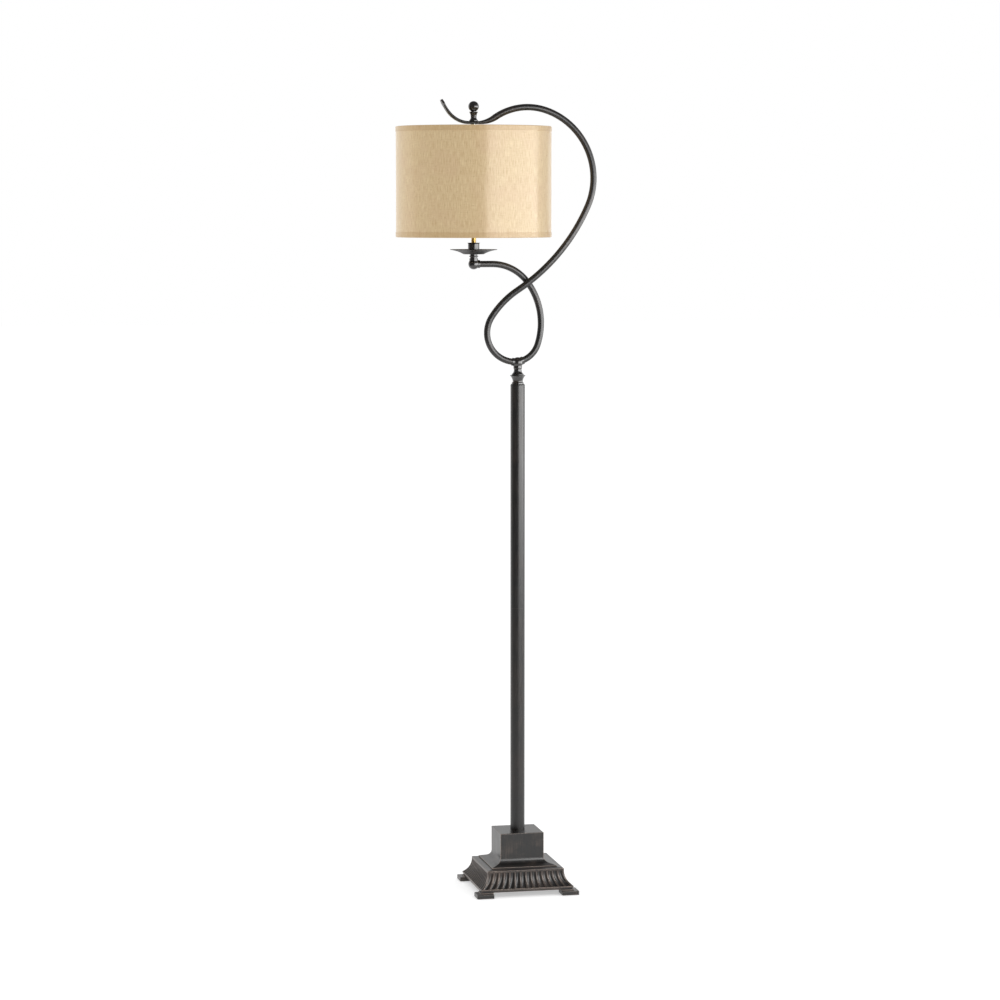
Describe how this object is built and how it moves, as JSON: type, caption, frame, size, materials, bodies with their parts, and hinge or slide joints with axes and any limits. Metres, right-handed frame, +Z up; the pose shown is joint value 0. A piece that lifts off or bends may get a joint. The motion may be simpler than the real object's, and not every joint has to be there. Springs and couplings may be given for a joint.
{
  "type": "floor lamp",
  "caption": "Floor lamp with a square fluted foot, a slim pole, two bent arms that cross in a loop, and a drum shade hung from the hooked end of one arm.",
  "frame": {"origin": "pole axis at floor level, on the plane of the felt glides", "axes": "+Z up along the pole, +X towards the bow of the shade arm, -Y to the front"},
  "size_m": [0.4002, 0.3074, 1.574],
  "materials": {
    "bronze_casting": "oil-rubbed bronze lacquer on a rough casting",
    "bronze_tube": "oil-rubbed bronze lacquer, satin",
    "bronze_turned": "oil-rubbed bronze lacquer, polished on the high spots",
    "ballast_iron": "as cast",
    "zinc_steel": "zinc plated",
    "black_steel": "black lacquer",
    "white_steel": "white lacquer on wire",
    "bare_brass": "polished",
    "black_rubber": "matt",
    "brown_pvc": "smooth",
    "brown_felt": "pressed felt",
    "black_phenolic": "moulded",
    "cap_aluminium": "rolled",
    "frosted_glass": "frosted",
    "shade_cloth": "silky woven cloth",
    "shade_sheet": "white shade sheet"
  },
  "bodies": {
    "stand": {"arm_hub": "bronze_turned", "base_casting": "bronze_casting", "base_weight": "ballast_iron", "bottom_plate": "black_steel", "candle_arm": "bronze_tube", "candle_ball": "bronze_turned", "candle_cup": "bronze_turned", "candle_neck": "bronze_turned", "candle_nipple": "bare_brass", "clamp_nut": "zinc_steel", "clamp_pipe": "zinc_steel", "clamp_washer": "zinc_steel", "cord_bushing": "black_rubber", "drip_dish": "bronze_turned", "felt_glides": "brown_felt", "finial_stud": "zinc_steel", "foot_front_left": "bronze_casting", "foot_front_right": "bronze_casting", "foot_rear_left": "bronze_casting", "foot_rear_right": "bronze_casting", "foot_screws": "zinc_steel", "lead_wire": "brown_pvc", "nipple_nut": "bare_brass", "plate_screws": "zinc_steel", "plinth_block": "bronze_casting", "pole_coupler": "zinc_steel", "pole_foot_bush": "zinc_steel", "pole_lower": "bronze_tube", "pole_neck": "bronze_turned", "pole_top_bush": "zinc_steel", "pole_upper": "bronze_tube", "screw_shell": "bare_brass", "shade_arm": "bronze_tube", "socket_body": "black_phenolic", "socket_cap": "bare_brass", "socket_contact": "bare_brass", "socket_shell": "bare_brass", "spider_nut": "zinc_steel", "stud_spacer": "zinc_steel"},
    "shade": {"shade_drum": "shade_cloth", "shade_backing": "shade_sheet", "shade_top_trim": "shade_cloth", "shade_bottom_trim": "shade_cloth", "shade_spider": "white_steel", "shade_bottom_ring": "white_steel"},
    "finial": {"finial": "bronze_turned"},
    "bulb": {"bulb_cap": "cap_aluminium", "bulb_glass": "frosted_glass"},
    "switch": {"switch_knob": "black_phenolic"}
  },
  "joints": [
    {"name": "shade_turn", "type": "hinge", "parent": "stand", "child": "shade", "pos_m": [-0.08894, -0.0001, 1.50847], "axis": [0, 0, 1], "continuous": true},
    {"name": "finial_turn", "type": "hinge", "parent": "stand", "child": "finial", "pos_m": [-0.08894, -0.0001, 1.53847], "axis": [0, 0, 1], "continuous": true},
    {"name": "bulb_turn", "type": "hinge", "parent": "stand", "child": "bulb", "pos_m": [-0.08894, 0, 1.4], "axis": [0, 0, 1], "continuous": true},
    {"name": "switch_turn", "type": "hinge", "parent": "stand", "child": "switch", "pos_m": [-0.08894, -0.03, 1.33792], "axis": [0, -1, 0], "continuous": true}
  ]
}
